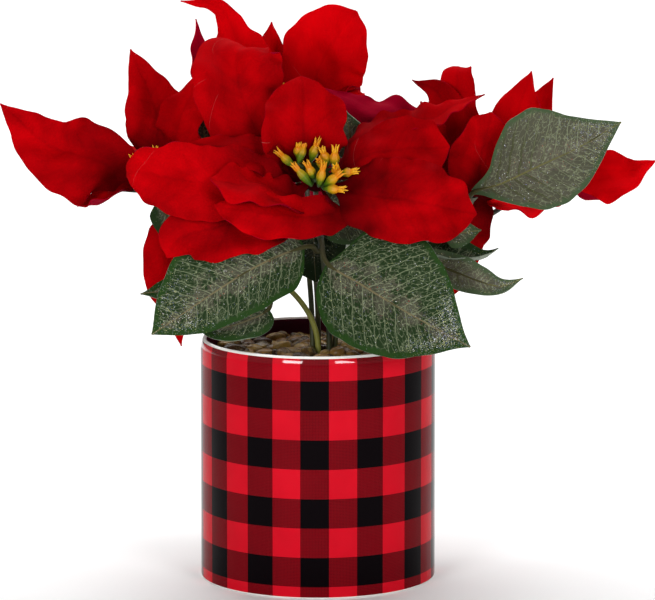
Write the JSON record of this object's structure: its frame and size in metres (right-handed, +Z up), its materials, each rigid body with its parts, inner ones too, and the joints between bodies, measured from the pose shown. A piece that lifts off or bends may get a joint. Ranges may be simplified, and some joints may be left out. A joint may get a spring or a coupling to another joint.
{
  "type": "potted poinsettia",
  "caption": "Artificial potted plant: a straight round glazed pot of pebbles with thin green stems, broad pointed red bracts round small yellow buds, and large veined green leaves.",
  "frame": {"origin": "middle of the pot's underside, on the surface it stands on", "axes": "+Z up through the pot's axis, -Y towards the side that the picture shows, +X to its right"},
  "size_m": [0.3316, 0.2399, 0.294],
  "materials": {
    "pot_glaze": "glossy glaze, red and black check",
    "plug_foam": "matt foam",
    "pebbles": "smooth small pebbles",
    "stem_green": "satin",
    "bract_red": "soft woven cloth",
    "bud_yellow": "satin",
    "leaf_green": "coated cloth with a printed net of pale veins and glitter"
  },
  "bodies": {
    "root": {"pot": "pot_glaze", "plug": "plug_foam", "gravel": "pebbles", "stem_front": "stem_green", "stem_left": "stem_green", "stem_right": "stem_green", "stem_far": "stem_green", "stem_top": "stem_green", "stem_rear": "stem_green", "bracts_front": "bract_red", "bracts_left": "bract_red", "bracts_right": "bract_red", "bracts_far": "bract_red", "bracts_top": "bract_red", "bracts_rear": "bract_red", "buds_front": "bud_yellow", "buds_left": "bud_yellow", "buds_right": "bud_yellow", "buds_far": "bud_yellow", "buds_top": "bud_yellow", "buds_rear": "bud_yellow", "leaf_front_left": "leaf_green", "leaf_front_right": "leaf_green", "leaf_right_low": "leaf_green", "leaf_right_fold": "leaf_green", "leaf_right_back": "leaf_green", "leaf_far": "leaf_green", "leaf_between": "leaf_green", "leaf_left_dark": "leaf_green", "leaf_upper_left": "leaf_green", "leaf_rim_left": "leaf_green", "leaf_low_left": "leaf_green", "leaf_centre": "leaf_green", "leaf_centre_right": "leaf_green", "leaf_rear_left": "leaf_green", "leaf_rear_right": "leaf_green", "leaf_rear_low": "leaf_green", "leaf_side_left": "leaf_green"}
  },
  "joints": []
}
